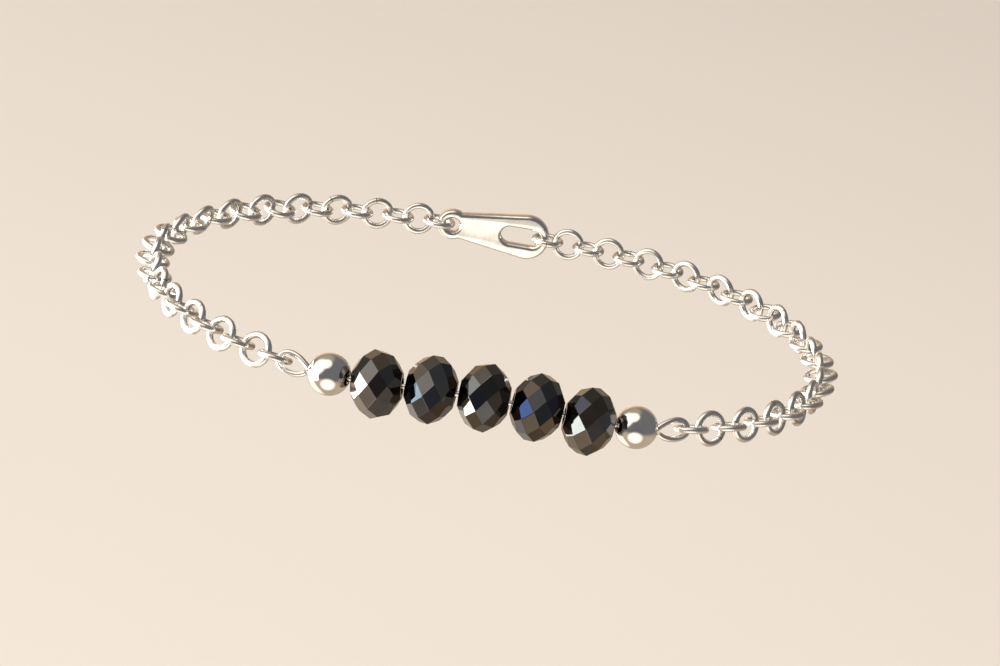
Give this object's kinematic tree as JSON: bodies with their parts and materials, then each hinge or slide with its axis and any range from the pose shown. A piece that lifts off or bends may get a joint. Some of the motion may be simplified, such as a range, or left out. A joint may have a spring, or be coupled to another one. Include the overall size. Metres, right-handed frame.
{
  "type": "beaded chain bracelet",
  "caption": "Chain bracelet with faceted black glass beads between round silver beads on an eye pin, round-link chain either side, claw clasp behind",
  "frame": {"origin": "the middle of the loop, on the line of the wrist that wears it", "axes": "+Z runs along the wrist, square to the loop; the beads are in the middle of the front on -Y, and the clasp is behind on +Y; +X runs across the wrist to the right"},
  "size_m": [0.065, 0.0532, 0.0066],
  "materials": {
    "black_glass": "faceted jet-black glass with a dark metallic sheen",
    "silver_bead": "mirror-polished silver",
    "silver_wire": "drawn and polished silver wire",
    "silver_chain": "polished silver, lightly worn",
    "silver_clasp": "polished silver, lightly worn"
  },
  "bodies": {
    "root": {"crystal_1": "black_glass", "crystal_2": "black_glass", "crystal_3": "black_glass", "crystal_4": "black_glass", "crystal_5": "black_glass", "silver_bead_left": "silver_bead", "silver_bead_right": "silver_bead", "eye_pin": "silver_wire", "chain_left": "silver_chain", "chain_right": "silver_chain", "clasp": "silver_clasp"}
  },
  "joints": []
}
